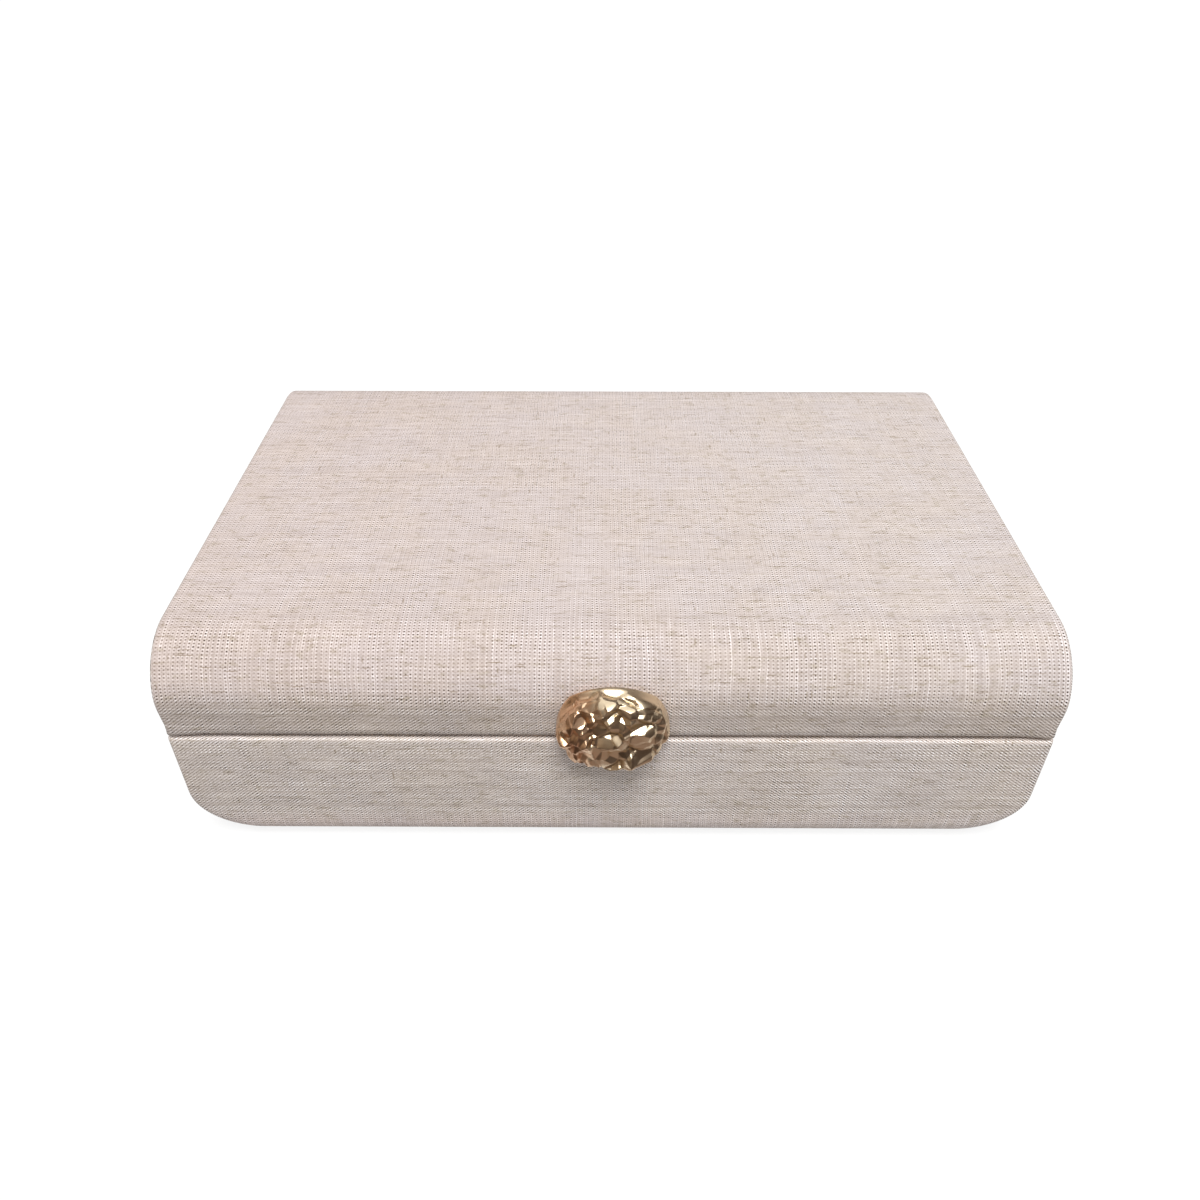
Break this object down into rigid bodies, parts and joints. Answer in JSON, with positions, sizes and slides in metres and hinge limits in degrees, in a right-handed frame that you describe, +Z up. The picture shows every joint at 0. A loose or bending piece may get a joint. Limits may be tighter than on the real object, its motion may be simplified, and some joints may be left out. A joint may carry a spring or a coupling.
{
  "type": "linen-covered box",
  "caption": "Linen-covered keepsake box with a back-hinged lid, rolled lid edges, padded lining and a crumpled brass clasp held by a magnet.",
  "frame": {"origin": "middle of the underside panel, on the surface the box rests on", "axes": "+X along the box's width, -Y out of the front with the clasp, +Z up through the lid"},
  "size_m": [0.21, 0.1545, 0.062],
  "materials": {
    "linen": "plain-weave oatmeal linen, matt, with slubs and brown flecks",
    "lining": "short-napped cream suedette",
    "fibreboard": "moulded fibreboard, bare",
    "card": "grey-brown card",
    "hinge_brass": "rolled brass, satin",
    "clasp_brass": "crumpled cast brass, warm antique gold, polished on its ridges",
    "steel": "zinc-plated steel",
    "magnet": "nickel-plated magnet"
  },
  "bodies": {
    "base": {"base_shell": "fibreboard", "base_linen_cover": "linen", "underside_filler_card": "card", "underside_panel": "linen", "base_lining": "lining", "base_floor_pad": "lining", "keeper_plate": "steel", "hinge_base_leaf": "hinge_brass", "hinge_pin": "steel", "hinge_base_screw_1": "hinge_brass", "hinge_base_screw_2": "hinge_brass", "hinge_base_screw_3": "hinge_brass", "hinge_base_screw_4": "hinge_brass", "hinge_base_screw_5": "hinge_brass"},
    "lid": {"lid_shell": "fibreboard", "lid_linen_cover": "linen", "lid_lining": "lining", "lid_pad": "lining", "hinge_lid_leaf": "hinge_brass", "hinge_lid_screw_1": "hinge_brass", "hinge_lid_screw_2": "hinge_brass", "hinge_lid_screw_3": "hinge_brass", "hinge_lid_screw_4": "hinge_brass", "hinge_lid_screw_5": "hinge_brass", "clasp_nugget": "clasp_brass", "clasp_magnet": "magnet", "clasp_backing_plate": "steel", "clasp_screw_left": "steel", "clasp_screw_right": "steel"}
  },
  "joints": [
    {"name": "lid_hinge", "type": "hinge", "parent": "base", "child": "lid", "pos_m": [0, 0.06935, 0.0376], "axis": [-1, 0, 0], "range_deg": [0, 100]}
  ]
}
